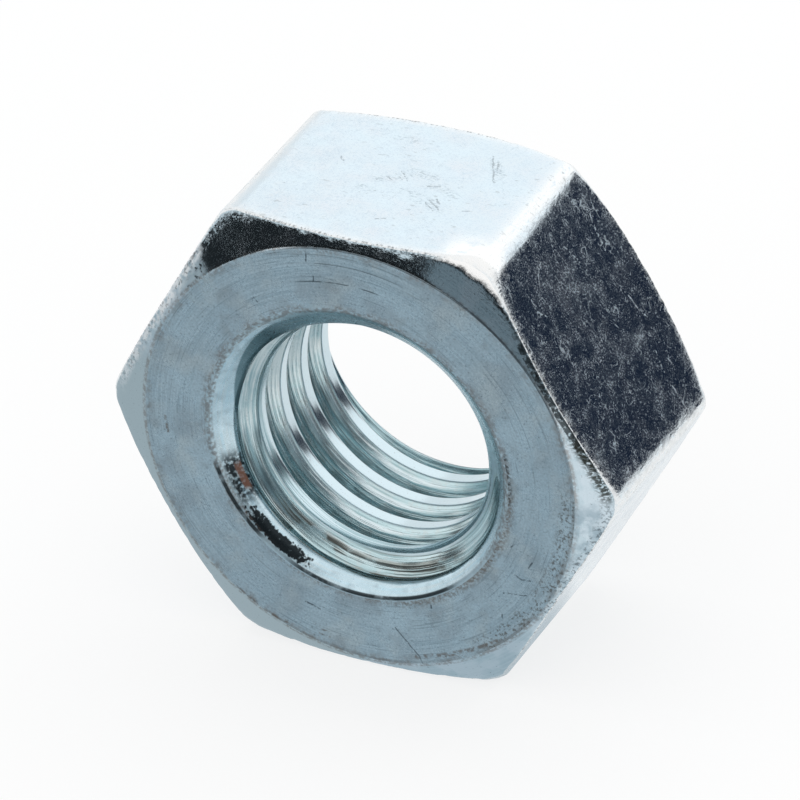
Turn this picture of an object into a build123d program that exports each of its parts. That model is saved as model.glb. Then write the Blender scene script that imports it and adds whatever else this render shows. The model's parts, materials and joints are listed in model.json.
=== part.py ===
"""Hexagonal threaded nut, coarse metric thread, standing on one of its six flats."""

import os
from math import ceil, radians, sqrt, tan

from build123d import *
from build123d.topology import SkipClean

# Driving dimensions, in millimetres and degrees
across_flats = 13.0
nut_height = 6.5
corner_radius = 0.4
bearing_diameter = 12.5
corner_chamfer_angle = 22.0
thread_diameter = 8.0
thread_pitch = 1.25
thread_angle = 60.0
root_flat = 0.16
bore_diameter = 6.8
countersink_diameter = 8.7
countersink_angle = 90.0

# Turns the thread about its axis; the photograph shows where its crests lie
thread_start_angle = -98.0

# The axis is +Y and the origin its middle, with a bearing face at each end and a flat below.
# Profiles of turned and threaded forms lie in planes through the axis: x is the radius.
across_corners = 2 * across_flats / sqrt(3)
half_height = nut_height / 2
bearing_radius = bearing_diameter / 2
bore_radius = bore_diameter / 2
countersink_radius = countersink_diameter / 2

# Depth of the corner chamfer at the sharp corner, and of each countersink, below its face
corner_drop = (across_corners / 2 - bearing_radius) * tan(radians(corner_chamfer_angle))
countersink_depth = (countersink_radius - bore_radius) / tan(radians(countersink_angle / 2))

# Groove section: a flat root, and flanks that run a little past the wall of the bore
groove_overrun = 0.1
root_radius = thread_diameter / 2
mouth_radius = bore_radius - groove_overrun
mouth_half_width = root_flat / 2 + (root_radius - mouth_radius) * tan(radians(thread_angle / 2))

# Turns enough to run out past both faces
turn_count = 2 * ceil(half_height / thread_pitch) + 2
turn_places = [(0, (i - turn_count / 2) * thread_pitch, 0) for i in range(turn_count)]

# The bore is cut in equal sectors, so that no face of it goes all the way round
bore_sectors = 3
sector_arc = 360 / bore_sectors


# One turn of the thread's groove
with BuildPart() as groove_turn:
    with BuildLine() as turn_path:
        Helix(pitch=thread_pitch, height=thread_pitch, radius=root_radius, direction=(0, 1, 0))
    outward = turn_path.line @ 0
    with BuildSketch(Plane(origin=(0, 0, 0), x_dir=outward, z_dir=outward.cross(Vector(0, 1, 0)))):
        with BuildLine():
            Polyline(
                (mouth_radius, -mouth_half_width),
                (root_radius, -root_flat / 2),
                (root_radius, root_flat / 2),
                (mouth_radius, mouth_half_width),
                close=True,
            )
        make_face()
    sweep(path=turn_path.line, is_frenet=True)


with BuildPart() as hex_nut:
    # Hexagonal blank with rounded corners, two of them at the sides and a flat below
    with BuildSketch(Plane.XZ):
        RegularPolygon(radius=across_flats / 2, side_count=6, major_radius=False)
    extrude(amount=half_height, both=True)
    fillet(hex_nut.edges().filter_by(Axis.Y), radius=corner_radius)

    # Corners turned down to a cone at both ends, which leaves the round bearing faces
    with BuildSketch(Plane.XY):
        with BuildLine():
            Polyline(
                (0, -half_height),
                (bearing_radius, -half_height),
                (across_corners / 2, corner_drop - half_height),
                (across_corners / 2, half_height - corner_drop),
                (bearing_radius, half_height),
                (0, half_height),
                close=True,
            )
        make_face()
    revolve(axis=Axis.Y, mode=Mode.INTERSECT)

    # Bore of tapping size, countersunk at both ends, and the right-hand thread in it.
    # The faces of the sectors are kept apart, so none of them is merged with its neighbours.
    with SkipClean():
        for sector in range(bore_sectors):
            with BuildSketch(Plane.XY.rotated((0, sector * sector_arc, 0))):
                with BuildLine():
                    Polyline(
                        (0, -half_height),
                        (countersink_radius, -half_height),
                        (bore_radius, countersink_depth - half_height),
                        (bore_radius, half_height - countersink_depth),
                        (countersink_radius, half_height),
                        (0, half_height),
                        close=True,
                    )
                make_face()
            revolve(axis=Axis.Y, revolution_arc=sector_arc, mode=Mode.SUBTRACT)
        with Locations(*turn_places):
            add(groove_turn.part, rotation=(0, thread_start_angle, 0), mode=Mode.SUBTRACT)

hex_nut.part.label = "hex_nut"

os.makedirs("parts", exist_ok=True)
export_step(hex_nut.part, "parts/hex_nut.step")
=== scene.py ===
"""Zinc plated hexagon nut: its worn form, its plating and a plain studio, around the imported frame.

Lengths are in millimetres until a mesh is made. Angles about the thread's axis, which is Y, run
from +X towards +Z, so that seen from the front they run anticlockwise.
"""

import json
from itertools import product
from math import cos, pi, radians, sin, tan

import bmesh
import bpy
import numpy as np
from mathutils import Matrix, Vector


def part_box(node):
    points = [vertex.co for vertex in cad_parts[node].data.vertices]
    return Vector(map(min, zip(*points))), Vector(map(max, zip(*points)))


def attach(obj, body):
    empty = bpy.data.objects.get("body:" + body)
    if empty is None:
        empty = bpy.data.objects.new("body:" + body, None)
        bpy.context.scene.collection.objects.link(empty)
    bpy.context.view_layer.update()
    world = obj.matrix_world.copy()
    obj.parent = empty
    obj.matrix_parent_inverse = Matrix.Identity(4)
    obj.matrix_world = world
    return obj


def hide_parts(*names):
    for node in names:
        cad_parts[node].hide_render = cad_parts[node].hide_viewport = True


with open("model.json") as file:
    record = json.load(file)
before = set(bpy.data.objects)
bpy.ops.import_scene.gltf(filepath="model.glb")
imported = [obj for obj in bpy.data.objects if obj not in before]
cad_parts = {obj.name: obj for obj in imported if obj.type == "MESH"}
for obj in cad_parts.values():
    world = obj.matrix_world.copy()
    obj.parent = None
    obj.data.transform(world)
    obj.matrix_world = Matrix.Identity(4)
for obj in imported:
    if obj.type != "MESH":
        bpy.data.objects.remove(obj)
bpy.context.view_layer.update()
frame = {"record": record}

MM = 0.001
NODE = "hex_nut"

# Sizes that the frame gives
lowest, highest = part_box(NODE)
half_height = highest.y / MM
apothem = highest.z / MM
floor_level = lowest.z / MM
mounts = {mount["name"]: mount for mount in frame["record"]["mounts"]}
bore_radius = mounts["thread"]["dims"]["r_mm"]

# Sizes that the part's source also holds
bearing_radius = 6.25
chamfer_slope = tan(radians(22))
countersink_radius = 4.35
root_radius = 4.0
root_flat = 0.16
pitch = 1.25
flank_slope = 1 / tan(radians(30))
groove_angle = radians(188)

# Wear, read from the photograph: corners are rounder towards the front face, whose chamfer was
# turned a little off centre, and every edge is softened by tumbling
rear_corner_radius = (0.4, 0.55, 0.4, 0.4, 0.4, 0.4)
front_corner_radius = (0.75, 1.0, 0.75, 0.75, 0.75, 0.75)
chamfer_offset = (0.07, -0.07)
mouth_softness = 0.06
bell_mouth = 0.18
crest_softness = 0.04
facet_softness = 0.03
bearing_softness = 0.06
flat_edge_softness = 0.06
corner_edge_softness = (0.30, 0.42, 0.17, 0.25, 0.28, 0.30)
edge_wobble = 0.3
wobble_length = 0.35
wear_reach = 0.10
corner_wear_reach = (0.20, 0.14, 0.12, 0.12, 0.12, 0.14)
fade_before_corner = 2.6
fade_past_corner = 2.0
dent_depth = 0.035
dent_length = 0.22

# The most that a softened edge takes of a narrow chamfer's width
inner_edge_share = 0.3
outer_edge_share = 0.6

# Round the front mouth the countersink is flatter, and its steeper part starts at this radius
facet_inner_radius = 4.10
facet_slope = tan(radians(37))
facet_depth = (countersink_radius - facet_inner_radius) * facet_slope
facet_lead_in = 0.04
front_limit = facet_depth + facet_lead_in - half_height
rear_limit = half_height - mouth_softness

# The first turn of the thread runs out unevenly in the front mouth. By the height of the groove's
# middle: how far it strays along the axis, and how far from the axis its root is. The straying ends
# some way from the groove's middle, and at both mouths, where the bore's rows meet the shell.
runout_heights = (-3.25, -3.06, -2.99, -2.89, -2.78, -2.68, -2.5, -2.2, -1.85)
runout_drift = (0.14, 0.134, 0.115, 0.055, 0.035, 0, -0.03, 0, 0)
runout_root = (4.1, 4.1, 4.07, 4.03, 4.0, 3.95, 3.85, 3.9, root_radius)
runout_reach = 0.6
runout_fade = 0.25
mouth_fade = 0.2
seam_fade = 0.03

# Fineness of the mesh: columns round the axis, rows across each stretch of the section from mouth
# to mouth, and rows round each edge between two stretches
corner_zone = radians(3.6)
corner_steps = 8
flat_steps = 64
straight_rows = (1, 3, 18, 8, 32, 6, 12, 1)
bend_rows = (2, 4, 3, 6, 5, 3, 3)
merge_distance = 0.0005

# Zones of the surface, each with a material of its own, their order along the shell, and how many
# of the rows round an edge still belong to the zone before it
FACE, CHAMFER, FLAT, BORE = range(4)
SHELL_ZONES = (BORE, FACE, CHAMFER, FLAT, CHAMFER, FACE)
rows_before_edge = (4, 1, 2, 3, 1)

RANDOM_SEED = 8125
OCTAVE_SHIFT = 7.3
lattice = np.random.default_rng(RANDOM_SEED).random((32, 32, 32))


def field(points, size, octaves=1):
    """A smooth random field from -1 to 1 whose swells are about size across."""
    total, share = 0, 0
    for octave in range(octaves):
        scaled = points * 2**octave / size + OCTAVE_SHIFT * octave
        cell = np.floor(scaled).astype(int)
        part = scaled - cell
        part = part * part * (3 - 2 * part)
        for corner in product((0, 1), repeat=3):
            weight = np.where(corner, part, 1 - part).prod(axis=-1)
            index = (cell + corner) % len(lattice)
            total += weight * (2 * lattice[tuple(np.moveaxis(index, -1, 0))] - 1) / 2**octave
        share += 1 / 2**octave
    return total / share


def at_corners(angle, values):
    """Of six values, one for each corner of the hexagon, the one for the corner nearest an angle."""
    return np.array(values)[np.round(angle / (pi / 3)).astype(int) % 6]


def hexagon_radius(angle, rounding):
    """From the axis to the side of a hexagon whose corners have that rounding."""
    from_flat = np.abs(angle % (pi / 3) - pi / 6)
    from_corner = pi / 6 - from_flat
    centre = (apothem - rounding) / cos(pi / 6)
    reach = np.maximum(rounding**2 - (centre * np.sin(from_corner)) ** 2, 0)
    rounded = centre * np.cos(from_corner) + np.sqrt(reach)
    tangent = np.arctan((apothem - rounding) * tan(pi / 6) / apothem)
    return np.where(from_flat > tangent, rounded, apothem / np.cos(from_flat))


def groove_height(angle):
    """Where along the axis the middle of the thread's groove passes that angle."""
    return (groove_angle - angle) / (2 * pi) * pitch


def soft_max(a, b, softness):
    """The larger of two radii, with the edge between them softened."""
    return np.maximum(a, b) + np.maximum(softness - np.abs(a - b), 0) ** 2 / (4 * softness)


def bore_wall(angle, height):
    """The threaded bore's wall: how far from the axis, at what height, and how deep in the thread."""
    turn = (height - groove_height(angle)) / pitch
    groove = groove_height(angle) + np.round(turn) * pitch
    from_groove = np.abs(height - groove)
    root = np.interp(groove, runout_heights, runout_root)
    flank = root - (from_groove - root_flat / 2) * flank_slope
    stray = np.interp(groove, runout_heights, runout_drift)
    inside = np.minimum(height - front_limit, rear_limit - height)
    stray *= np.clip((runout_reach - from_groove) / runout_fade, 0, 1) * np.clip(inside / mouth_fade, 0, 1)
    height = height + stray
    front_cone = facet_inner_radius + facet_depth - half_height - height
    rear_cone = countersink_radius - half_height + height
    cone = np.maximum(front_cone, rear_cone)
    crest = soft_max(bore_radius, cone, bell_mouth)
    wall = soft_max(np.minimum(flank, root), crest, crest_softness)
    wall = cone + (wall - cone) * np.clip(inside / seam_fade, 0, 1) ** 2
    return wall, height, wall - crest


def ring_angles():
    """Angles of the mesh's columns, closer together round the six corners."""
    near = np.linspace(-corner_zone, corner_zone, 2 * corner_steps, endpoint=False)
    far = np.linspace(corner_zone, pi / 3 - corner_zone, flat_steps, endpoint=False)
    sixth = np.concatenate([near, far])
    return np.concatenate([sixth + i * pi / 3 for i in range(6)]) % (2 * pi)


def rounded_profile(corners, softness):
    """Rows along a broken line, one place a column, with each inner corner rounded off."""
    rows = []
    start = corners[0]
    for i in range(1, len(corners)):
        here, before = corners[i], corners[i - 1]
        towards = (before - here) / np.linalg.norm(before - here, axis=-1, keepdims=True)
        last = i == len(corners) - 1
        end = here if last else here + towards * softness[i - 1][:, None]
        for step in range(straight_rows[i - 1]):
            rows.append(start + (end - start) * step / straight_rows[i - 1])
        if last:
            rows.append(end)
            break
        after = corners[i + 1]
        onwards = (after - here) / np.linalg.norm(after - here, axis=-1, keepdims=True)
        start = here + onwards * softness[i - 1][:, None]
        for step in range(bend_rows[i - 1]):
            t = step / bend_rows[i - 1]
            rows.append((1 - t) ** 2 * end + 2 * t * (1 - t) * here + t**2 * start)
    return rows


def on_circle(angle, radius, height):
    """Points of a ring, from the radius and the height at each angle."""
    spread = np.broadcast_to(height, angle.shape)
    return np.stack([radius * np.cos(angle), spread, radius * np.sin(angle)], axis=-1)


def outer_rows(angle):
    """The shell from the front countersink over faces, chamfers and flats to the rear one: its rows,
    where its zones end, how worn each point is, and how far it lies inside the chamfer's lip."""
    flat = np.ones_like(angle)
    off_x, off_z = chamfer_offset
    front_circle = bearing_radius + off_x * np.cos(angle) + off_z * np.sin(angle)
    front_reach = hexagon_radius(angle, at_corners(angle, front_corner_radius))
    rear_reach = hexagon_radius(angle, at_corners(angle, rear_corner_radius))
    front_edge = (front_reach - front_circle) * chamfer_slope - half_height
    rear_edge = half_height - (rear_reach - bearing_radius) * chamfer_slope
    corners = [
        (facet_inner_radius * flat, (facet_depth - half_height) * flat),
        (countersink_radius * flat, -half_height * flat),
        (front_circle, -half_height * flat),
        (front_reach, front_edge),
        (rear_reach, rear_edge),
        (bearing_radius * flat, half_height * flat),
        (countersink_radius * flat, half_height * flat),
    ]
    corners = [np.stack(corner, axis=-1) for corner in corners]
    front_mouth = corners[0] + facet_lead_in * np.array([-1, 1])
    rear_mouth = corners[-1] - mouth_softness
    corners = [front_mouth] + corners + [rear_mouth]
    front_inner, front_outer, rear_outer, rear_inner = corners[3:7]

    wobble = edge_wobble * field(on_circle(angle, apothem, 0), wobble_length, 3)
    front_width = np.linalg.norm(front_outer - front_inner, axis=-1)
    rear_width = np.linalg.norm(rear_inner - rear_outer, axis=-1)
    past_corner = (angle + pi / 6) % (pi / 3) - pi / 6
    closeness = (front_reach - apothem) / (front_reach.max() - apothem)
    closeness = closeness ** np.where(past_corner > 0, fade_past_corner, fade_before_corner)
    at_corner = at_corners(angle, corner_edge_softness)
    edge_softness = flat_edge_softness + (at_corner - flat_edge_softness) * closeness
    front_softness = np.minimum(edge_softness * (1 + wobble), outer_edge_share * front_width)
    rear_softness = np.minimum(edge_softness * (1 - wobble), outer_edge_share * rear_width)
    softness = [
        facet_softness * flat,
        mouth_softness * flat,
        np.minimum(bearing_softness, inner_edge_share * front_width),
        front_softness,
        rear_softness,
        np.minimum(bearing_softness, inner_edge_share * rear_width),
        mouth_softness * flat,
    ]
    rows = rounded_profile(corners, softness)
    zone_ends = [sum(straight_rows[: i + 2]) + sum(bend_rows[: i + 1]) + before
                 for i, before in enumerate(rows_before_edge)]

    from_corner = apothem * np.abs(past_corner)
    reach = wear_reach + (at_corners(angle, corner_wear_reach) - wear_reach) * closeness
    front_lip = front_outer + (front_inner - front_outer) * (front_softness / front_width)[:, None]
    rear_lip = rear_outer + (rear_inner - rear_outer) * (rear_softness / rear_width)[:, None]
    wear, lip = [], []
    for row in rows:
        near = np.minimum(*[np.linalg.norm(row - edge, axis=-1) for edge in (front_outer, rear_outer)])
        beyond = np.minimum(row[:, 1] - front_outer[:, 1], rear_outer[:, 1] - row[:, 1])
        near = np.where(beyond > 0, np.minimum(near, from_corner), near)
        wear.append(np.exp(-np.maximum(near - edge_softness / 4, 0) / reach))
        from_front = np.linalg.norm(row - front_lip, axis=-1) * np.sign(front_lip[:, 1] - row[:, 1])
        from_rear = np.linalg.norm(row - rear_lip, axis=-1) * np.sign(row[:, 1] - rear_lip[:, 1])
        lip.append(np.maximum(from_front, from_rear))
    return rows, zone_ends, wear, lip


def thread_steps():
    """Steps along one pitch of the thread, from a groove's middle, close by its edges."""
    half = [0, 0.06, 0.10, 0.19, 0.30, 0.405, 0.427, 0.449, 0.53]
    return np.array(half + [pitch / 2] + [pitch - step for step in half[:0:-1]])


def nut_grid():
    """The whole surface as one closed grid: the shell, and the bore on rows that follow its helix.
    Gives its points, its faces, the zone of each face, and what the finishes read at each point."""
    angle = ring_angles()
    columns = len(angle)
    shell, zone_ends, wear, lip = outer_rows(angle)
    points, faces, zones = [], [], []

    for radius, height in (row.T for row in shell):
        points.append(on_circle(angle, radius, height))
    for row in range(len(shell) - 1):
        zone = SHELL_ZONES[int(np.searchsorted(zone_ends, row, side="right"))]
        for column in range(columns):
            a, b = row * columns + column, row * columns + (column + 1) % columns
            faces.append((a, a + columns, b + columns, b))
            zones.append(zone)

    # Rows of the bore follow every turn that crosses the nut, and sink by one pitch a turn. So past
    # the last column, each row goes on in the row that lies one pitch before it.
    steps = thread_steps()
    turns = range(-4, 5)
    heights = np.concatenate([turn * pitch + steps for turn in turns])
    unrolled = np.where(np.arange(columns) < corner_steps, angle % (2 * pi) - 2 * pi, angle)
    first = len(shell) * columns
    depth = [np.zeros(columns)] * len(shell)
    for step in heights:
        nominal = np.clip(groove_height(unrolled) + step, front_limit, rear_limit)
        wall, height, groove = bore_wall(unrolled, nominal)
        points.append(on_circle(angle, wall, height))
        wear.append(np.zeros(columns))
        lip.append(np.zeros(columns))
        depth.append(groove)
    for row in range(len(heights) - 1):
        for column in range(columns):
            seam = column == columns - 1
            beside = 0 if seam else column + 1
            lower = row - len(steps) if seam else row
            if lower < 0:
                continue
            a, b = first + row * columns + column, first + lower * columns + beside
            faces.append((a, b, b + columns, a + columns))
            zones.append(BORE)
    traits = {"edge_wear": wear, "lip_distance": lip, "thread_depth": depth}
    traits = {name: np.concatenate(rows) for name, rows in traits.items()}
    return np.concatenate(points), faces, zones, traits


def nut_mesh():
    """The grid as a mesh, dented where it is worn, with the traits as attributes of its points."""
    points, faces, zones, traits = nut_grid()
    dents = np.maximum(field(points, dent_length, 2), 0) * traits["edge_wear"] * dent_depth
    mesh = bpy.data.meshes.new("hex_nut_body")
    grid = bmesh.new()
    layers = {name: grid.verts.layers.float.new(name) for name in traits}
    verts = [grid.verts.new(Vector(point) * MM) for point in points]
    for name, layer in layers.items():
        for vert, value in zip(verts, traits[name]):
            vert[layer] = value
    for corners, zone in zip(faces, zones):
        face = grid.faces.new([verts[i] for i in corners])
        face.material_index = zone
        face.smooth = True
    grid.normal_update()
    for vert, dent in zip(verts, dents):
        vert.co -= vert.normal * dent * MM
    bmesh.ops.remove_doubles(grid, verts=grid.verts, dist=merge_distance * MM)
    bmesh.ops.delete(grid, geom=[v for v in grid.verts if not v.link_faces], context="VERTS")
    grid.to_mesh(mesh)
    grid.free()
    return mesh


def linear(hex_colour):
    """An sRGB hex colour as linear red, green, blue and alpha."""
    channels = [int(hex_colour[i : i + 2], 16) / 255 for i in (1, 3, 5)]
    return [c / 12.92 if c <= 0.04045 else ((c + 0.055) / 1.055) ** 2.4 for c in channels] + [1.0]


SMOOTH = {"interpolation_type": "SMOOTHSTEP"}


def add(tree, kind, inputs=(), out=0, **settings):
    """Adds a shader node, sets its properties, and links its inputs or gives them values. Returns the
    output that is asked for, or all its outputs."""
    made = tree.nodes.new("ShaderNode" + kind)
    for name, value in settings.items():
        setattr(made, name, value)
    for socket, value in dict(inputs).items():
        if isinstance(value, bpy.types.NodeSocket):
            tree.links.new(value, made.inputs[socket])
        else:
            made.inputs[socket].default_value = value
    return made.outputs if out is None else made.outputs[out]


def new_material(name):
    """An empty material and its node tree."""
    material = bpy.data.materials.new(name)
    material.use_nodes = True
    material.node_tree.nodes.clear()
    return material, material.node_tree


def places(tree):
    """Where a point lies in millimetres, its distance from the axis, the way out to it, and a mask for
    the nut's front half."""
    place = add(tree, "TexCoord", out="Object")
    place = add(tree, "VectorMath", {0: place, "Scale": 1 / MM}, operation="SCALE")
    across = add(tree, "VectorMath", {0: place, 1: (1, 0, 1)}, operation="MULTIPLY")
    radius = add(tree, "VectorMath", {0: across}, out="Value", operation="LENGTH")
    outward = add(tree, "VectorMath", {0: across}, operation="NORMALIZE")
    along = add(tree, "SeparateXYZ", {0: place}, out="Y")
    in_front = add(tree, "MapRange", {"Value": along, "From Min": 0.0, "From Max": -0.5})
    return place, radius, outward, in_front


def outside(tree, place, middle, radius):
    """How far a point lies outside a cylinder along Y, from the x and z of its middle and its radius."""
    across = add(tree, "VectorMath", {0: place, 1: (1, 0, 1)}, operation="MULTIPLY")
    middle = (middle[0], 0, middle[1])
    off = add(tree, "VectorMath", {0: across, 1: middle}, out="Value", operation="DISTANCE")
    return add(tree, "Math", {0: off, 1: radius}, operation="SUBTRACT")


def turned_places(tree, radius, outward, lay_width, lay_length=2.0):
    """Places in which a pattern becomes the circular lay that a cutting tool leaves."""
    rings = add(tree, "Math", {0: radius, 1: 1 / lay_width}, operation="MULTIPLY")
    along = add(tree, "VectorMath", {0: outward, "Scale": bearing_radius / lay_length}, operation="SCALE")
    split = add(tree, "SeparateXYZ", {0: along}, out=None)
    return add(tree, "CombineXYZ", {0: rings, 1: split["X"], 2: split["Z"]})


def helix_places(tree, place, lay_width):
    """Places in which a pattern becomes the lay of the tap, which repeats at every turn."""
    split = add(tree, "SeparateXYZ", {0: place}, out=None)
    angle = add(tree, "Math", {0: split["Z"], 1: split["X"]}, operation="ARCTAN2")
    phase = add(tree, "Math", {0: split["Y"], 1: 2 * pi / pitch, 2: angle}, operation="MULTIPLY_ADD")
    width = pitch / (2 * pi) / lay_width
    drift_per_mm = 0.35
    east = add(tree, "Math", {0: phase}, operation="COSINE")
    east = add(tree, "Math", {0: east, 1: width}, operation="MULTIPLY")
    north = add(tree, "Math", {0: phase}, operation="SINE")
    north = add(tree, "Math", {0: north, 1: width}, operation="MULTIPLY")
    drift = add(tree, "Math", {0: split["X"], 1: split["Z"]}, operation="SUBTRACT")
    drift = add(tree, "Math", {0: drift, 1: drift_per_mm}, operation="MULTIPLY")
    return add(tree, "CombineXYZ", {0: east, 1: north, 2: drift})


def overlap(tree, *masks):
    """A mask that shows only where all of these do. None stands for a mask that shows everywhere."""
    shown, *others = [mask for mask in masks if mask is not None]
    for mask in others:
        shown = add(tree, "Math", {0: shown, 1: mask}, operation="MULTIPLY")
    return shown


def spots(tree, place, size, low, high, amount=1.0, detail=2.0, stretch=(1, 1, 1), within=None):
    """Random spots about size across, where a smooth noise lies between low and high."""
    scale = tuple(s / size for s in stretch)
    place = add(tree, "VectorMath", {0: place, 1: scale}, operation="MULTIPLY")
    noise = add(tree, "TexNoise", {"Vector": place, "Scale": 1.0, "Detail": detail})
    limits = {"From Min": low, "From Max": high, "To Max": amount}
    return overlap(tree, add(tree, "MapRange", {"Value": noise, **limits}, **SMOOTH), within)


def hairlines(tree, place, size, width, within=None):
    """Fine wandering lines, like the short scratches that nuts tumbled together leave."""
    place = add(tree, "VectorMath", {0: place, "Scale": 1 / size}, operation="SCALE")
    noise = add(tree, "TexNoise", {"Vector": place, "Scale": 1.0, "Detail": 1.0})
    off = add(tree, "Math", {0: noise, 1: 0.5}, operation="SUBTRACT")
    off = add(tree, "Math", {0: off}, operation="ABSOLUTE")
    mask = add(tree, "MapRange", {"Value": off, "From Min": width / size, "From Max": 0.0}, **SMOOTH)
    return overlap(tree, mask, within)


def band(tree, value, inner, outer, fade, amount=1.0, within=None):
    """A mask that shows where a value lies between inner and outer, and fades out on both sides."""
    rise = {"From Min": inner - fade, "From Max": inner}
    drop = {"From Min": outer + fade, "From Max": outer, "To Max": amount}
    rise, drop = (add(tree, "MapRange", {"Value": value, **limits}, **SMOOTH) for limits in (rise, drop))
    return overlap(tree, rise, drop, within)


def sector(tree, outward, middle, reach, fade=8, within=None):
    """A mask for the part of a ring within some degrees of a middle angle."""
    way = (cos(radians(middle)), 0, sin(radians(middle)))
    near = add(tree, "VectorMath", {0: outward, 1: way}, operation="DOT_PRODUCT", out="Value")
    limits = {"From Min": cos(radians(reach + fade)), "From Max": cos(radians(reach))}
    return overlap(tree, add(tree, "MapRange", {"Value": near, **limits}, **SMOOTH), within)


def wavering(tree, place, size, reach):
    """Places shifted a little at random, so that what is drawn on them isn't straight."""
    noise = add(tree, "TexNoise", {"Vector": place, "Scale": 1 / size, "Detail": 2.0}, out="Color")
    shift = add(tree, "VectorMath", {0: noise, 1: (0.5, 0.5, 0.5)}, operation="SUBTRACT")
    return add(tree, "VectorMath", {0: shift, 1: (reach, reach, reach), 2: place}, operation="MULTIPLY_ADD")


def strokes(tree, place, lines, amount):
    """Scratches and nicks, each a straight line between two points, with its width, in millimetres."""
    drawn = None
    for start, end, width in lines:
        run = Vector(end) - Vector(start)
        offset = add(tree, "VectorMath", {0: place, 1: start}, operation="SUBTRACT")
        share = add(tree, "VectorMath", {0: offset, 1: tuple(run / run.length_squared)}, out="Value",
                    operation="DOT_PRODUCT")
        share = add(tree, "Math", {0: share, 1: 0.0}, operation="ADD", use_clamp=True)
        nearest = add(tree, "VectorMath", {0: tuple(run), "Scale": share}, operation="SCALE")
        off = add(tree, "VectorMath", {0: offset, 1: nearest}, out="Value", operation="DISTANCE")
        limits = {"From Min": width, "From Max": width / 3, "To Max": amount}
        line = add(tree, "MapRange", {"Value": off, **limits}, **SMOOTH)
        drawn = line if drawn is None else add(tree, "Math", {0: drawn, 1: line}, operation="MAXIMUM")
    return drawn


def plated(tree, material, base, tints, roughness, dulling, relief):
    """Finishes a bare zinc surface: tints over its base colour, dull spots over its gloss, and relief
    with depths in millimetres, each by a mask of its own and laid over those before it."""
    colour = linear(base)
    for mask, tint in tints:
        colour = add(tree, "Mix", {0: mask, 6: colour, 7: linear(tint)}, out=2, data_type="RGBA")
    for mask, amount in dulling:
        roughness = add(tree, "Math", {0: mask, 1: amount, 2: roughness}, operation="MULTIPLY_ADD")
    below = {}
    for height, depth in relief:
        bump = {"Height": height, "Distance": depth * MM, "Strength": 1.0}
        below = {"Normal": add(tree, "Bump", bump | below)}
    metal = {"Base Color": colour, "Metallic": 1.0, "Roughness": roughness}
    shader = add(tree, "BsdfPrincipled", metal | below)
    add(tree, "OutputMaterial", {"Surface": shader}, out=None)
    return material


# Marks read from the photograph: nicks and scratches on the front face, on the bright top flat, and
# on the dark flat to the right
front = -half_height
face_nicks = [
    ((-1.15, front, 5.94), (-1.16, front, 5.66), 0.035),
    ((-0.97, front, 5.26), (-0.98, front, 5.07), 0.025),
    ((0.94, front, -5.12), (1.61, front, -5.86), 0.028),
    ((1.61, front, -5.86), (1.80, front, -6.23), 0.025),
    ((4.18, front, -3.24), (4.33, front, -3.22), 0.035),
    ((4.33, front, -3.22), (4.85, front, -3.17), 0.022),
    ((4.52, front, -2.59), (4.72, front, -2.70), 0.028),
    ((4.72, front, -2.70), (4.95, front, -2.68), 0.03),
    ((4.93, front, -2.28), (5.03, front, -2.10), 0.03),
    ((4.43, front, -1.75), (4.55, front, -1.64), 0.03),
    ((2.03, front, -4.15), (2.04, front, -4.24), 0.035),
    ((4.12, front, -3.94), (4.11, front, -4.04), 0.03),
    ((-1.68, front, -4.95), (-1.47, front, -5.02), 0.04),
    ((-1.47, front, -5.02), (-1.27, front, -5.10), 0.035),
    ((-2.76, front, 4.22), (-2.62, front, 4.10), 0.028),
]
face_smears = [
    ((-5.59, front, -0.08), (-5.53, front, -0.54), 0.06),
    ((-3.76, front, -4.99), (-3.18, front, -5.38), 0.08),
    ((-2.96, front, -5.58), (-2.28, front, -5.76), 0.10),
    ((1.55, front, -5.91), (2.44, front, -5.62), 0.10),
    ((2.44, front, -5.62), (3.27, front, -5.22), 0.10),
    ((3.27, front, -5.22), (4.02, front, -4.75), 0.08),
    ((-1.39, front, -5.73), (-1.00, front, -5.76), 0.04),
    ((-1.34, front, -5.88), (-1.01, front, -5.92), 0.04),
]
top = apothem
flat_nicks = [
    ((1.67, 2.17, top), (2.28, 0.90, top), 0.04),
    ((1.95, 1.90, top), (2.12, 1.52, top), 0.04),
    ((1.12, -0.51, top), (1.51, -0.85, top), 0.045),
    ((1.09, -0.69, top), (1.43, -0.99, top), 0.03),
    ((1.24, -0.40, top), (1.45, -0.60, top), 0.035),
    ((-0.21, 0.57, top), (0.16, 0.16, top), 0.025),
    ((-0.31, 0.42, top), (0.00, 0.15, top), 0.025),
    ((-0.63, -0.10, top), (-0.53, 0.16, top), 0.03),
    ((-0.39, 0.17, top), (-0.25, 0.05, top), 0.03),
    ((-2.03, 0.68, top), (-1.89, 0.51, top), 0.045),
    ((0.21, -1.90, top), (0.45, -1.80, top), 0.035),
    ((2.13, -0.71, top), (2.38, -0.63, top), 0.03),
    ((0.78, 0.12, top), (1.08, 0.20, top), 0.03),
    ((0.25, 0.70, top), (0.66, 0.60, top), 0.02),
]
flat_scuffs = [
    ((-0.70, -0.07, top), (-0.29, 0.15, top), 0.20),
    ((-0.22, 0.12, top), (0.06, 0.51, top), 0.26),
    ((-0.01, 0.65, top), (0.73, 0.56, top), 0.26),
    ((0.74, -0.49, top), (1.51, -0.85, top), 0.30),
    ((0.76, 0.12, top), (1.10, 0.20, top), 0.18),
    ((-1.08, 2.14, top), (-0.57, 2.18, top), 0.22),
    ((1.21, 0.08, top), (1.65, -0.13, top), 0.22),
    ((0.27, -0.30, top), (0.62, -0.43, top), 0.20),
    ((-0.89, -0.54, top), (-0.50, -0.61, top), 0.18),
    ((1.80, 2.00, top), (2.25, 1.25, top), 0.24),
]
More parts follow.
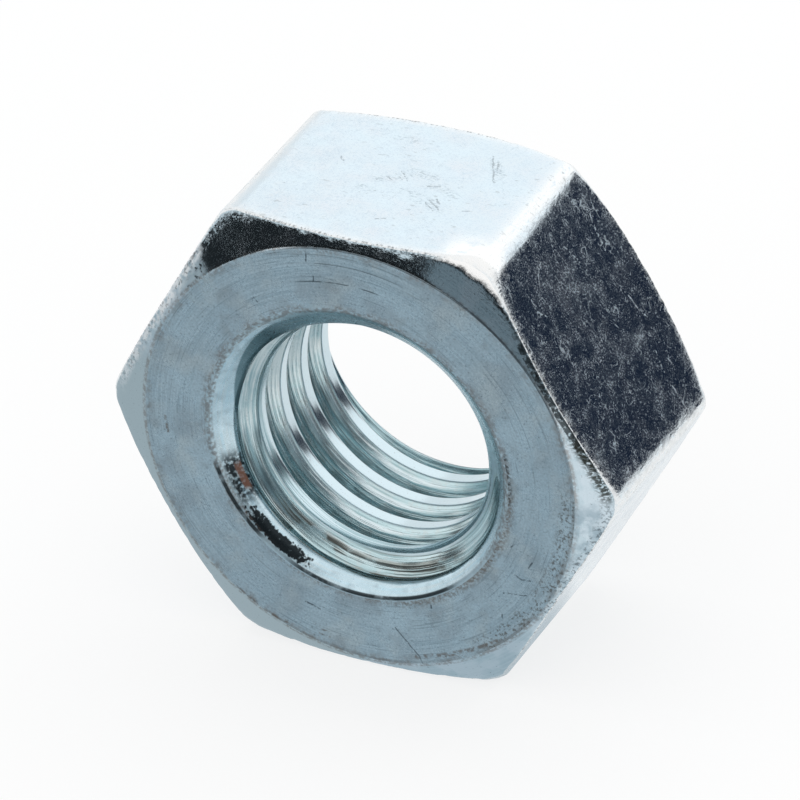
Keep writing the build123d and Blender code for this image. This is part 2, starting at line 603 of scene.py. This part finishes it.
flat_scratches = [
    ((4.35, -0.71, 5.47), (4.44, -1.10, 5.31), 0.03),
    ((4.44, -1.10, 5.31), (4.56, -1.26, 5.10), 0.03),
    ((4.61, -1.86, 5.02), (4.76, -1.96, 4.75), 0.04),
    ((4.76, -1.96, 4.75), (4.93, -1.66, 4.47), 0.04),
    ((4.33, 2.19, 5.50), (4.58, 2.07, 5.07), 0.04),
    ((4.58, 2.07, 5.07), (4.92, 1.97, 4.48), 0.05),
    ((4.43, 0.46, 5.32), (4.76, 0.76, 4.75), 0.03),
    ((5.53, 1.82, 3.42), (5.86, 2.01, 2.84), 0.04),
    ((5.86, 2.01, 2.84), (6.00, 2.14, 2.61), 0.04),
    ((5.63, 0.64, 3.25), (5.85, 0.88, 2.86), 0.03),
    ((5.67, -0.08, 3.18), (5.89, -0.20, 2.81), 0.03),
    ((5.89, -0.20, 2.81), (5.91, -0.64, 2.76), 0.03),
    ((6.40, 1.71, 1.91), (6.71, 1.58, 1.38), 0.03),
    ((6.92, 1.60, 1.01), (7.13, 1.63, 0.65), 0.04),
]


def drawn_flat():
    """Bright zinc over cold-drawn bar: a mirror broken by fine frosted grain, hazy patches and short
    tumbling scratches, so that it glitters where it reflects something dark."""
    material, tree = new_material("zinc_on_drawn_flat")
    place, _, outward, in_front = places(tree)
    worn = add(tree, "Attribute", attribute_name="edge_wear", out="Fac")
    lip = add(tree, "Attribute", attribute_name="lip_distance", out="Fac")
    bent = wavering(tree, place, 0.4, 0.25)
    blue = spots(tree, bent, 1.3, 0.36, 0.64)
    violet = spots(tree, bent, 0.9, 0.38, 0.75, 0.35)
    clouds = spots(tree, bent, 0.9, 0.34, 0.76, detail=5)
    haze = spots(tree, bent, 0.35, 0.40, 0.80, detail=5)
    # Frosted grains are about 0.02 mm across, and are drawn twice as coarse to show
    fine = spots(tree, place, 0.045, 0.40, 0.76, detail=3)
    coarse = spots(tree, place, 0.10, 0.52, 0.76, detail=4)
    glints = spots(tree, place, 0.06, 0.70, 0.76, detail=1)
    scattered = spots(tree, place, 0.5, 0.50, 0.62)
    tumbled = hairlines(tree, bent, 0.60, 0.010, within=scattered)
    curled = hairlines(tree, bent, 0.28, 0.006, within=scattered)
    marks = wavering(tree, place, 0.25, 0.12)
    scratched = spots(tree, place, 0.09, 0.38, 0.60, within=strokes(tree, marks, flat_scratches, 1.0))
    nicked = spots(tree, place, 0.07, 0.28, 0.56, within=strokes(tree, marks, flat_nicks, 0.7))
    scuffed = strokes(tree, marks, flat_scuffs, 0.5)
    scuffed = spots(tree, place, 0.06, 0.48, 0.66, detail=4, stretch=(0.7, 1, 1), within=scuffed)
    dirt = spots(tree, place, 0.11, 0.60, 0.72, 0.4, detail=3, stretch=(0.45, 1, 1),
                 within=spots(tree, place, 1.2, 0.42, 0.60))
    corner = sector(tree, outward, 62, 2, 7, within=in_front)
    bared = band(tree, lip, -0.5, 0.5, 1.1, 0.85, within=corner)
    bared = spots(tree, bent, 0.30, 0.22, 0.56, detail=6, within=bared)
    bright_edge = spots(tree, place, 0.11, 0.20, 0.50, detail=4, stretch=(1, 0.6, 1), within=worn)
    ragged = spots(tree, place, 0.11, 0.40, 0.58, detail=4, stretch=(1, 0.6, 1), within=worn)
    edge = band(tree, lip, -0.09, 0.10, 0.05)
    teeth = spots(tree, place, 0.07, 0.46, 0.66, 0.6, stretch=(1, 0.35, 1), within=edge)
    tints = [(blue, "#D3E3EB"), (violet, "#DDDCE1"), (haze, "#D1E0E9"), (fine, "#CBDAE5"),
             (bright_edge, "#EEF1F2"), (bared, "#F9F9F8"), (dirt, "#8F9496"), (scuffed, "#95A5AE"),
             (nicked, "#8A949A"), (teeth, "#30373C")]
    dulling = [(clouds, 0.07), (haze, 0.11), (fine, 0.17), (coarse, 0.09), (glints, 0.14), (tumbled, 0.20),
               (curled, 0.15), (scratched, 0.25), (ragged, 0.20)]
    # Tumbled edges are upset along the drawing direction
    grain = spots(tree, place, 0.10, 0.25, 0.75, detail=5, stretch=(1, 0.5, 1), within=worn)
    relief = [(spots(tree, place, 0.8, 0.2, 0.8, detail=1), 0.003),
              (spots(tree, place, 0.08, 0.3, 0.7, detail=3), 0.0006), (grain, 0.008)]
    return plated(tree, material, "#D3E0E7", tints, 0.08, dulling, relief)


def turned_face():
    """Duller zinc over a turned face: fine circular lay, faint mottling, nicks, and brown stain
    gathered along its two edges."""
    material, tree = new_material("zinc_on_turned_face")
    place, radius, outward, in_front = places(tree)
    # The lay is about 0.02 mm wide on the metal, drawn at 0.04 mm so that it shows
    mottle = spots(tree, place, 0.5, 0.3, 0.7, detail=5)
    bare = spots(tree, place, 1.4, 0.34, 0.60, detail=3)
    rings = turned_places(tree, radius, outward, 0.04, 3.0)
    broad_rings = turned_places(tree, radius, outward, 0.11, 5.0)
    short_rings = turned_places(tree, radius, outward, 0.045, 1.5)
    lay = spots(tree, rings, 1.0, 0.3, 0.7, within=bare)
    broad_lay = spots(tree, broad_rings, 1.0, 0.3, 0.7, 0.3, within=bare)
    scores = spots(tree, short_rings, 1.0, 0.61, 0.72, 0.35, detail=1)
    bloom = spots(tree, place, 2.2, 0.42, 0.68, 0.5)
    smudge = spots(tree, wavering(tree, place, 0.6, 0.5), 1.2, 0.48, 0.66, 0.6, detail=6)
    tarnish = spots(tree, place, 0.8, 0.54, 0.70, 0.38, detail=7)
    grain = spots(tree, place, 0.06, 0.35, 0.65, 0.3, detail=3)
    patchy = spots(tree, place, 0.6, 0.36, 0.62, detail=5)
    past_mouth = outside(tree, place, (0, 0), countersink_radius)
    past_rim = outside(tree, place, chamfer_offset, bearing_radius)
    inner = band(tree, past_mouth, -0.1, 0.05, 0.24, within=patchy)
    outer = band(tree, past_rim, -0.08, 0.1, 0.20, within=patchy)
    inner_stain = spots(tree, place, 0.075, 0.36, 0.62, 0.6, detail=5, within=inner)
    outer_stain = spots(tree, place, 0.10, 0.36, 0.64, 0.45, detail=6, within=outer)
    lower = sector(tree, outward, -50, 60, 20)
    rim = band(tree, past_rim, -0.07, 0, 0.05, 0.5, within=lower)
    rim = spots(tree, place, 0.5, 0.30, 0.66, detail=8, within=rim)
    right = sector(tree, outward, -27, 24, 10)
    grimy = band(tree, past_rim, -0.35, 0.1, 0.25, 0.75, within=right)
    grimy = spots(tree, place, 0.08, 0.50, 0.66, detail=5, within=grimy)
    smoky = band(tree, past_mouth, 0, 0.14, 0.22, 0.7, within=sector(tree, outward, -38, 32, 14))
    smoky = spots(tree, place, 0.09, 0.38, 0.64, detail=6, within=smoky)
    caked = sector(tree, outward, 4, 7, 6, within=in_front)
    caked = band(tree, past_mouth, 0, 0.12, 0.08, 0.8, within=caked)
    caked = spots(tree, place, 0.12, 0.44, 0.58, detail=6, within=caked)
    warm = spots(tree, wavering(tree, place, 0.5, 0.5), 1.1, 0.48, 0.70, 0.6, detail=6)
    bright_grain = spots(tree, place, 0.05, 0.56, 0.74, 0.5, detail=3)
    upper = sector(tree, outward, 90, 13, 5, within=in_front)
    broken = spots(tree, place, 0.5, 0.36, 0.46, within=upper)
    arc = band(tree, radius, 5.175, 5.195, 0.02, 0.7, within=broken)
    outer_arc = band(tree, radius, 5.72, 5.735, 0.02, 0.5, within=broken)
    third_arc = band(tree, radius, 5.97, 5.985, 0.015, 0.35, within=broken)
    smears = spots(tree, place, 0.10, 0.38, 0.62, detail=4, within=strokes(tree, place, face_smears, 0.7))
    marks = wavering(tree, place, 0.2, 0.06)
    nicked = spots(tree, place, 0.08, 0.30, 0.52, within=strokes(tree, marks, face_nicks, 0.75))
    flecks = spots(tree, place, 0.06, 0.62, 0.72, 0.5, detail=3)
    tints = [(mottle, "#B9CCD6"), (bloom, "#A0B4C0"), (lay, "#9FB3BE"), (broad_lay, "#C6D5DD"),
             (smudge, "#9EABB3"), (warm, "#C6D1D4"), (tarnish, "#8F9496"), (grain, "#81939E"),
             (bright_grain, "#D3DEE5"), (scores, "#66767F"), (arc, "#3C464D"), (outer_arc, "#3C464D"),
             (third_arc, "#3C464D"), (rim, "#77736F"), (inner_stain, "#7A6E66"),
             (outer_stain, "#817870"), (grimy, "#5F5A54"), (smoky, "#74695F"), (caked, "#3B3733"),
             (smears, "#6C5F56"), (flecks, "#6A7378"), (nicked, "#39424A")]
    dulling = [(mottle, 0.10), (inner_stain, 0.2), (outer_stain, 0.2)]
    relief = [(lay, 0.0012), (mottle, 0.003), (grain, 0.0012)]
    return plated(tree, material, "#BACFDA", tints, 0.24, dulling, relief)


def turned_chamfer():
    """Zinc over the turned corner chamfer: smoother than the face, with a dark ragged band along its sharp
    edge.
    """
    material, tree = new_material("zinc_on_turned_chamfer")
    place, radius, outward, in_front = places(tree)
    worn = add(tree, "Attribute", attribute_name="edge_wear", out="Fac")
    lip = add(tree, "Attribute", attribute_name="lip_distance", out="Fac")
    lay = spots(tree, turned_places(tree, radius, outward, 0.05), 1.0, 0.25, 0.75)
    past_rim = outside(tree, place, chamfer_offset, bearing_radius)
    stain = band(tree, past_rim, -0.05, 0.04, 0.08)
    stain = spots(tree, place, 0.10, 0.34, 0.62, 0.55, detail=6, within=stain)
    seam = band(tree, past_rim, -0.05, 0.03, 0.02, 0.8, within=sector(tree, outward, 62, 38, 10))
    frost = spots(tree, place, 0.07, 0.50, 0.66, detail=3)
    blotch = spots(tree, wavering(tree, place, 0.4, 0.3), 0.8, 0.46, 0.60, 0.6, detail=3)
    # A dark ragged band lies beside the right-hand flat's edge, and is widest low down, where it ends in
    # bristles
    beside = band(tree, lip, -0.03, 0.12, 0.04, within=sector(tree, outward, 26, 14, 8))
    beside = spots(tree, place, 0.11, 0.36, 0.52, 0.85, detail=5, within=beside)
    low = band(tree, lip, -0.03, 0.08, 0.24, within=sector(tree, outward, 9, 6, 4))
    bristles = spots(tree, place, 0.06, 0.40, 0.54, 0.9, detail=4, stretch=(0.25, 1, 1), within=low)
    grass = band(tree, lip, -0.05, 0.02, 0.06, within=sector(tree, outward, 82, 50, 8))
    grass = spots(tree, place, 0.35, 0.30, 0.55, detail=3, within=grass)
    teeth = spots(tree, place, 0.07, 0.34, 0.60, 0.75, stretch=(1, 0.3, 1), within=grass)
    corner = sector(tree, outward, 60, 6, 5, within=in_front)
    bared = band(tree, lip, -1.5, 0.0, 0.02, within=corner)
    speckle = spots(tree, place, 0.06, 0.56, 0.72, detail=3)
    scuffed = band(tree, lip, -0.1, 0.10, 0.20, within=sector(tree, outward, 122, 4, 5))
    scuffed = spots(tree, place, 0.045, 0.50, 0.64, detail=4, stretch=(1, 1, 0.5), within=scuffed)
    frayed = sector(tree, outward, 152, 18, 10, within=in_front)
    frayed = band(tree, lip, -0.3, 0.08, 0.24, within=frayed)
    frosted = spots(tree, place, 0.16, 0.34, 0.58, detail=6, within=frayed)
    specks = spots(tree, place, 0.09, 0.54, 0.68, 0.6, detail=5, within=frayed)
    sheltered = sector(tree, outward, 216, 44, 14, within=in_front)
    tip = sector(tree, outward, 150, 16, 5, within=in_front)
    tip = spots(tree, place, 0.14, 0.26, 0.50, detail=5, within=tip)
    soiled = sector(tree, outward, -18, 13, 9, within=in_front)
    clouded = spots(tree, wavering(tree, place, 0.3, 0.2), 0.45, 0.38, 0.62, 0.8, detail=5, within=soiled)
    dotted = band(tree, lip, -0.35, 0.08, 0.25, within=soiled)
    dotted = spots(tree, place, 0.08, 0.50, 0.64, 0.7, detail=5, within=dotted)
    flecks = spots(tree, place, 0.06, 0.66, 0.74, 0.5, detail=3)
    rubbed = spots(tree, place, 0.16, 0.45, 0.6, 0.4, detail=4, within=worn)
    tints = [(lay, "#C3D5DE"), (blotch, "#D2DFE8"), (sheltered, "#BECCD1"), (stain, "#7C7068"),
             (flecks, "#5F686D"), (rubbed, "#D4E0E7"), (clouded, "#93A8B4"), (dotted, "#566066"),
             (bared, "#F9F9F8"), (frosted, "#F3F6F8"), (specks, "#5E676C"), (seam, "#49545B"),
             (beside, "#2E3436"), (bristles, "#33362F"), (teeth, "#30373C")]
    dulling = [(frost, 0.04), (worn, 0.04), (blotch, 0.04), (beside, 0.1), (bristles, 0.1),
               (speckle, 0.10), (scuffed, 0.4), (bared, 0.1), (frosted, 0.3), (tip, 0.35)]
    grain = spots(tree, place, 0.09, 0.25, 0.75, detail=5, within=worn)
    relief = [(lay, 0.0003), (frost, 0.0004), (grain, 0.005)]
    return plated(tree, material, "#B6CAD4", tints, 0.08, dulling, relief)


def tapped_bore():
    """Bright zinc in the tapped and countersunk bore: bluish green tint, fine lines that follow the helix,
    mirror bright crests, grime at the rim and in the first turn, and painted dark reflections in the
    countersink."""
    material, tree = new_material("zinc_on_tapped_bore")
    place, radius, outward, in_front = places(tree)
    depth = add(tree, "Attribute", attribute_name="thread_depth", out="Fac")
    along = add(tree, "SeparateXYZ", {0: place}, out="Y")
    flank = add(tree, "MapRange", {"Value": depth, "From Min": 0.012, "From Max": 0.035}, **SMOOTH)
    cone = add(tree, "MapRange", {"Value": depth, "From Min": 0.04, "From Max": 0.012}, **SMOOTH)
    cone = band(tree, radius, 3.62, 5.0, 0.1, within=cone)
    crest = band(tree, radius, 3.0, 3.46, 0.1)
    crest = band(tree, depth, -1.0, 0.004, 0.008, within=crest)
    crest_edge = band(tree, depth, 0.004, 0.03, 0.008)
    # Tap marks are about 0.02 mm wide, drawn at 0.03 mm so that they show
    bent = wavering(tree, place, 0.6, 0.03)
    lines = spots(tree, helix_places(tree, place, 0.03), 1.0, 0.40, 0.66, 0.9, within=flank)
    bright_lines = spots(tree, helix_places(tree, bent, 0.05), 1.3, 0.52, 0.68, 0.9, within=flank)
    tint = spots(tree, helix_places(tree, bent, 0.10), 1.0, 0.40, 0.62, 0.9, within=flank)
    cloudy = spots(tree, wavering(tree, place, 0.3, 0.3), 0.3, 0.46, 0.62, 0.5, detail=5, within=flank)
    dark_lines = spots(tree, helix_places(tree, bent, 0.04), 1.0, 0.57, 0.66, 0.6, within=flank)
    pale_side = sector(tree, outward, 150, 30, 15, within=flank)
    swirled = wavering(tree, place, 0.3, 0.2)
    pale_side = spots(tree, swirled, 0.5, 0.20, 0.60, 0.85, detail=5, within=pale_side)
    first_land = band(tree, along, -2.45, -1.9, 0.06, 0.9, within=sector(tree, outward, 222, 55, 20))
    first_land = spots(tree, helix_places(tree, bent, 0.04), 1.0, 0.36, 0.60, detail=3, within=first_land)
    mouth = sector(tree, outward, 268, 32, 22, within=flank)
    mouth = band(tree, along, front, -2.42, 0.12, within=mouth)
    mouth = spots(tree, place, 0.6, 0.34, 0.50, detail=4, within=mouth)
    torn = spots(tree, helix_places(tree, bent, 0.03), 1.0, 0.46, 0.60, 0.85, detail=3, within=mouth)
    brownish = spots(tree, helix_places(tree, bent, 0.06), 1.0, 0.42, 0.60, 0.7, detail=3, within=mouth)
    shade = sector(tree, outward, 204, 10, 9, within=flank)
    shade = band(tree, along, -2.9, -2.2, 0.15, within=shade)
    shade = spots(tree, helix_places(tree, bent, 0.12), 1.0, 0.36, 0.60, 0.8, detail=5, within=shade)
    grime = band(tree, depth, 0.42, 0.7, 0.15, within=spots(tree, place, 0.5, 0.35, 0.65, 0.5))
    lay = spots(tree, turned_places(tree, radius, outward, 0.05), 1.0, 0.25, 0.75, within=cone)
    grain = spots(tree, place, 0.06, 0.35, 0.70, detail=3, within=cone)
    mottle = spots(tree, swirled, 0.35, 0.44, 0.66, 0.7, detail=6, within=cone)
    greyer = spots(tree, place, 0.30, 0.50, 0.72, 0.5, detail=6, within=cone)
    past_mouth = outside(tree, place, (0, 0), countersink_radius)
    dull_rim = band(tree, past_mouth, -0.05, 0.1, 0.03, 0.5)
    rim = band(tree, past_mouth, -0.045, 0.02, 0.03)
    rim = spots(tree, place, 0.5, 0.26, 0.50, 0.9, detail=6, within=rim)
    rim_sectors = add(tree, "Math", {0: sector(tree, outward, 275, 28, 10),
                      1: sector(tree, outward, 212, 12, 6)}, operation="MAXIMUM")
    rim_low = overlap(tree, rim, rim_sectors, in_front)
    rim_stain = band(tree, past_mouth, -0.10, 0.1, 0.05, within=sector(tree, outward, 95, 118, 25))
    rim_stain = spots(tree, place, 0.10, 0.34, 0.62, 0.6, detail=6, within=rim_stain)
    # Painted dark reflection, laid over the black that the dark strips give in the countersink: a blot with
    # torn noise laid over its soft edge, cut off at a level above the noise alone
    blot_weight = 1.3
    cut_off = {"From Min": 1.03, "From Max": 1.48, "To Max": 0.98}
    painted_black_reflection = sector(tree, outward, 232, 4, 17, within=in_front)
    painted_black_reflection = band(tree, radius, 4.06, 4.22, 0.13, within=painted_black_reflection)
    torn_edge = spots(tree, place, 0.10, 0.22, 0.78, detail=5)
    painted_black_reflection = add(tree, "Math", {0: painted_black_reflection, 1: blot_weight, 2: torn_edge}, operation="MULTIPLY_ADD")
    painted_black_reflection = add(tree, "MapRange", {"Value": painted_black_reflection, **cut_off}, **SMOOTH)
    # Black spots on the cone round 205 degrees, at the end of the countersink's black patch
    black_cone_spots = sector(tree, outward, 205, 6, 7, within=in_front)
    black_cone_spots = band(tree, radius, 3.82, 4.14, 0.12, 0.95, within=overlap(tree, black_cone_spots, cone))
    black_cone_spots = spots(tree, place, 0.12, 0.34, 0.56, detail=6, within=black_cone_spots)
    copper = sector(tree, outward, 205, 4, 3, within=in_front)
    copper = band(tree, radius, 3.88, 3.98, 0.04, 0.85, within=overlap(tree, copper, cone))
    copper = spots(tree, place, 0.16, 0.12, 0.36, detail=5, within=copper)
    # Painted dark reflection fills the upper left of the cone, as a crescent off its axis
    crescent_centre, crescent_radius = (0.144, 0.395), 3.88
    past_crescent = outside(tree, place, crescent_centre, crescent_radius)
    crescent = sector(tree, outward, 158, 25, 12, within=overlap(tree, in_front, cone))
    crescent = band(tree, past_crescent, -crescent_radius, 0, 0.04, 0.85, within=crescent)
    flecks = spots(tree, place, 0.05, 0.66, 0.74, 0.5, detail=3)
    tints = [(flank, "#D0E6EA"), (tint, "#B9D4D9"), (cloudy, "#CFDBDC"), (lines, "#9AB7BD"),
             (dark_lines, "#647A7E"), (pale_side, "#DEE7E7"), (bright_lines, "#E2EFF3"),
             (first_land, "#94B4BC"), (grime, "#565E5C"), (brownish, "#A9ACA6"), (shade, "#55646A"),
             (torn, "#3F3E38"), (lay, "#C1DEEB"), (mottle, "#D6ECF6"), (greyer, "#A6B8C1"),
             (crescent, "#64838C"), (painted_black_reflection, "#1B2125"), (dull_rim, "#9FB0B9"), (rim_stain, "#746862"),
             (rim_low, "#20262A"), (black_cone_spots, "#20262A"), (copper, "#826052"), (flecks, "#5A6464")]
    dulling = [(flank, 0.05), (crest, -0.07), (crest_edge, 0.30), (grime, 0.15), (torn, 0.15),
               (rim_stain, 0.2), (grain, 0.03), (dull_rim, 0.15), (copper, 0.25), (first_land, 0.10)]
    relief = [(lines, 0.003), (tint, 0.003), (lay, 0.0006), (grain, 0.0006)]
    return plated(tree, material, "#CBDDE4", tints, 0.12, dulling, relief)


def placed(name, data):
    """A new object of the scene, from its name and its mesh, lamp or camera."""
    made = bpy.data.objects.new(name, data)
    bpy.context.scene.collection.objects.link(made)
    return made


nut = placed("hex_nut_body", nut_mesh())
for finish in (turned_face, turned_chamfer, drawn_flat, tapped_bore):
    nut.data.materials.append(finish())
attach(nut, "root")
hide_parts(NODE)


def glow(tree, colour):
    """An even glow of one colour, as lamps light a plain card."""
    light = add(tree, "Emission", {"Color": colour})
    add(tree, "OutputMaterial", {"Surface": light}, out=None)


def level_mesh(name, corners, level):
    """A flat level sheet with these corners."""
    mesh = bpy.data.meshes.new(name)
    mesh.from_pydata([Vector((x, y, level)) * MM for x, y in corners], [], [range(len(corners))])
    return mesh


def seen_by_metal(name, mesh, material):
    """Stages a card that shows in reflections alone, and neither lights nor shades anything."""
    mesh.materials.append(material)
    card = placed(name, mesh)
    card.visible_camera = False
    card.visible_diffuse = False
    card.visible_shadow = False


floor_white = "#FAFBFB"


def studio_floor():
    """A floor under the nut: white where the camera or the metal sees it, with the nut's shadow."""
    reach = 400
    white_share = 0.72
    corners = [(-reach, -reach), (reach, -reach), (reach, reach), (-reach, reach)]
    mesh = level_mesh("floor", corners, floor_level)
    floor = placed("floor", mesh)
    material, tree = new_material("white_floor")
    path = add(tree, "LightPath", out=None)
    seen = path["Is Camera Ray"]
    for ray in ("Is Glossy Ray", "Is Transmission Ray"):
        seen = add(tree, "Math", {0: seen, 1: path[ray]}, operation="ADD")
    share = add(tree, "MapRange", {"Value": seen, "To Max": white_share})
    matt = add(tree, "BsdfDiffuse", {"Color": linear(floor_white)})
    white = add(tree, "Emission", {"Color": (1, 1, 1, 1)})
    shader = add(tree, "MixShader", {0: share, 1: matt, 2: white})
    add(tree, "OutputMaterial", {"Surface": shader}, out=None)
    mesh.materials.append(material)


def reflection_card(name, colour, from_angle, to_angle, distance, edges, far_edges=None):
    """A curved card round the nut that only its metal sees. Angles run from -Y towards +X. Its edges
    are the heights of its bottom and top, at its start and, where they differ, at its end."""
    steps = 24
    mesh = bpy.data.meshes.new(name)
    points, faces = [], []
    for step in range(steps + 1):
        turn = radians(from_angle + (to_angle - from_angle) * step / steps)
        for near, far in zip(edges, far_edges or edges):
            height = near + (far - near) * step / steps
            points.append(Vector((distance * sin(turn), -distance * cos(turn), height)) * MM)
    for step in range(steps):
        faces.append((2 * step, 2 * step + 2, 2 * step + 3, 2 * step + 1))
    mesh.from_pydata(points, [], faces)
    material, tree = new_material(name)
    glow(tree, linear(colour))
    seen_by_metal(name, mesh, material)


def floor_card(name, colour, right, back, fade):
    """A sheet just over the floor that only the metal sees, painted grey as the floor's shade round the
    nut, and that fades into the floor's white.
    """
    reach = 60
    over_floor = 0.02
    corners = [(-reach, -reach), (right, -reach), (right, back), (-reach, back)]
    mesh = level_mesh(name, corners, floor_level + over_floor)
    material, tree = new_material(name)
    split = add(tree, "SeparateXYZ", {0: places(tree)[0]}, out=None)
    share = band(tree, split["X"], -reach, right - fade, fade)
    share = band(tree, split["Y"], -reach, back - fade, fade, within=share)
    shaded = {0: share, 6: linear(floor_white), 7: linear(colour)}
    glow(tree, add(tree, "Mix", shaded, out=2, data_type="RGBA"))
    seen_by_metal(name, mesh, material)


def studio_lamp(name, direction, distance, size, power):
    """A softbox that looks at the nut."""
    lamp = bpy.data.lights.new(name, "AREA")
    lamp.shape = "SQUARE"
    lamp.size = size * MM
    lamp.energy = power
    place = placed(name, lamp)
    way = Vector(direction).normalized()
    place.location = way * distance * MM
    place.rotation_mode = "QUATERNION"
    place.rotation_quaternion = way.to_track_quat("Z", "Y")
    place.visible_camera = False


def studio_world():
    """Even white light all round, which is also what is seen past the floor."""
    world = bpy.data.worlds.new("studio")
    world.use_nodes = True
    tree = world.node_tree
    tree.nodes.clear()
    white = add(tree, "Background", {"Color": (1, 1, 1, 1)})
    add(tree, "OutputWorld", {"Surface": white}, out=None)
    bpy.context.scene.world = world


def fitted_camera():
    """The photograph's view: a long lens, up and to the right of the front face."""
    azimuth, elevation, roll = radians(26.99), radians(31.65), radians(-2.54)
    distance = 211.5
    aside, above = -0.235, -0.123
    back = Vector((sin(azimuth) * cos(elevation), -cos(azimuth) * cos(elevation), sin(elevation)))
    level = Vector((cos(azimuth), sin(azimuth), 0))
    upright = back.cross(level)
    right = cos(roll) * level + sin(roll) * upright
    up = cos(roll) * upright - sin(roll) * level
    place = (aside * right + above * up + distance * back) * MM
    lens = bpy.data.cameras.new("camera")
    lens.lens = 360
    lens.sensor_width = 36
    lens.clip_start = 10 * MM
    lens.clip_end = 5000 * MM
    camera = placed("camera", lens)
    camera.matrix_world = Matrix.Translation(place) @ Matrix((right, up, back)).transposed().to_4x4()
    bpy.context.scene.camera = camera


# What the metal reflects: the name, colour, start and end of each card, its distance, and its heights
cards = [
    ("dark_card_right", "#182233", 125, 160, 100, (floor_level, 22)),
    ("dark_card_side", "#182233", 82, 125, 100, (floor_level, 48)),
    ("black_card_left", "#26282A", -47, -5, 300, (floor_level, 80)),
    ("black_card_far_left", "#26282A", -62, -47, 100, (floor_level, 10)),
    ("black_card_low_left", "#26282A", -62, -36, 60, (floor_level, 3)),
    ("grey_card_front", "#808A90", -5, 28, 45, (floor_level, 16)),
    ("dark_strip_front", "#1A1D20", -1, 20, 27, (11.8, 15.4), (4.4, 9.2)),
    ("dark_strip_beside", "#1A1D20", 20, 33, 27, (4.4, 9.2), (floor_level, 0)),
    ("dark_card_low_beside", "#1A1D20", 33, 50, 27, (floor_level, 0)),
    ("grey_card_beside", "#A9B6BE", 33, 50, 27, (0, 8)),
]
studio_floor()
for card in cards:
    reflection_card(*card)
# A grey sheet of painted shade on the floor in front of and left of the nut, seen only in reflections
floor_card("painted_floor_shade", "#C4CDD2", 6.5, 2.5, 2.5)
studio_lamp("back_softbox", (0.15, 0.80, 0.44), 300, 420, 0.11)
studio_world()
fitted_camera()
bpy.context.scene.view_settings.view_transform = "Standard"
